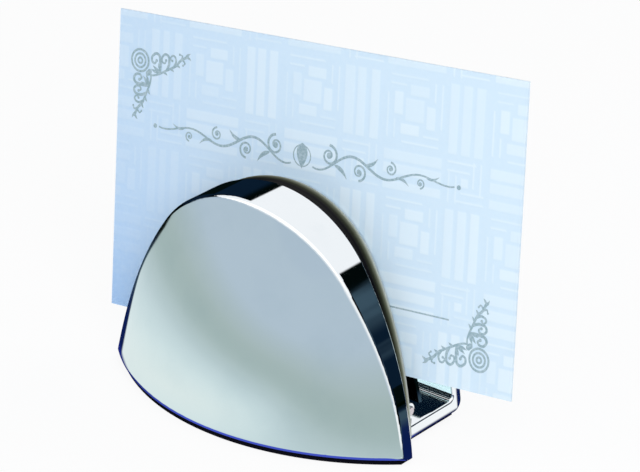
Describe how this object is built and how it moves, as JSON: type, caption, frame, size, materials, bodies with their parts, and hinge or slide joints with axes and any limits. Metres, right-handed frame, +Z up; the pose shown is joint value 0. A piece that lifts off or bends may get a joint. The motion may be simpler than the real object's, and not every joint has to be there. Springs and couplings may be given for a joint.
{
  "type": "place card holder",
  "caption": "Chrome place card holder: a bowed, arch-shaped shell on a foot with an upturned lip, and a sprung hinged plate behind it that grips a pale card.",
  "frame": {"origin": "on the table under the shell's back rim, midway across", "axes": "+X to the right seen from the front, +Y to the back where the foot and clamp are, +Z up"},
  "size_m": [0.0949, 0.0348, 0.0696],
  "materials": {
    "shell_chrome": "mirror-bright chrome plate on a casting",
    "foot_chrome": "mirror-bright chrome plate",
    "clamp_chrome": "chrome plate on pressed sheet steel",
    "cover_plastic": "fine satin moulded black",
    "screw_steel": "zinc-plated",
    "pin_steel": "bright drawn",
    "spring_steel": "drawn spring wire",
    "pad_rubber": "matte foam rubber sheet",
    "card_stock": "pale blue card with an embossed weave"
  },
  "bodies": {
    "stand": {"front_shell": "shell_chrome", "back_cover": "cover_plastic", "cover_screws": "screw_steel", "base_foot": "foot_chrome", "base_screws": "screw_steel", "base_pad": "pad_rubber", "hinge_pin": "pin_steel", "torsion_spring": "spring_steel"},
    "clamp": {"clamp_plate": "clamp_chrome"},
    "card": {"place_card": "card_stock"}
  },
  "joints": [
    {"name": "clamp_hinge", "type": "hinge", "parent": "stand", "child": "clamp", "pos_m": [0, 0.0057, 0.0058], "axis": [-1, 0, 0], "range_deg": [0, 35], "stiffness_Nm_per_rad": 0.03, "springref_deg": -34.38, "deforming": ["torsion_spring"]},
    {"name": "card_lift", "type": "slide", "parent": "stand", "child": "card", "axis": [0, 0.1908, 0.9816], "range_m": [0, 0.045]}
  ]
}
